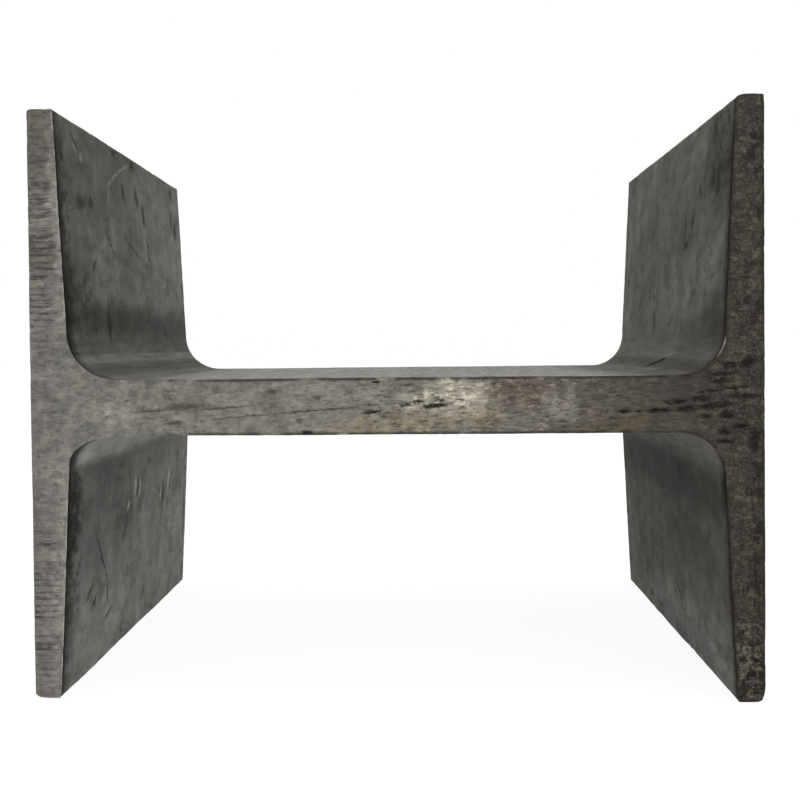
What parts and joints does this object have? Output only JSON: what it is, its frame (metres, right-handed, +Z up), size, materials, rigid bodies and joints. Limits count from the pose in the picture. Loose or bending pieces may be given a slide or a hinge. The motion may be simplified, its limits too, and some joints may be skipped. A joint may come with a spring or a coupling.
{
  "type": "steel i-beam offcut",
  "caption": "Short sawn length of hot-rolled wide-flange steel beam: a thick level web between two upright tapered flanges, for use as a stand, spacer, base block or structural stub.",
  "frame": {"origin": "on the floor, under the middle of the piece as it lies on its lower flange toes", "axes": "+X through the web from the left flange to the right one, +Y along the beam away from the sawn end that the picture shows, +Z up across the flanges' width"},
  "size_m": [0.2, 0.15, 0.1634],
  "materials": {
    "hot_rolled_steel": "dark mill scale on the rolled faces, grey-brown sawn and worn steel on the ends"
  },
  "bodies": {
    "root": {"rolled_beam": "hot_rolled_steel"}
  },
  "joints": []
}
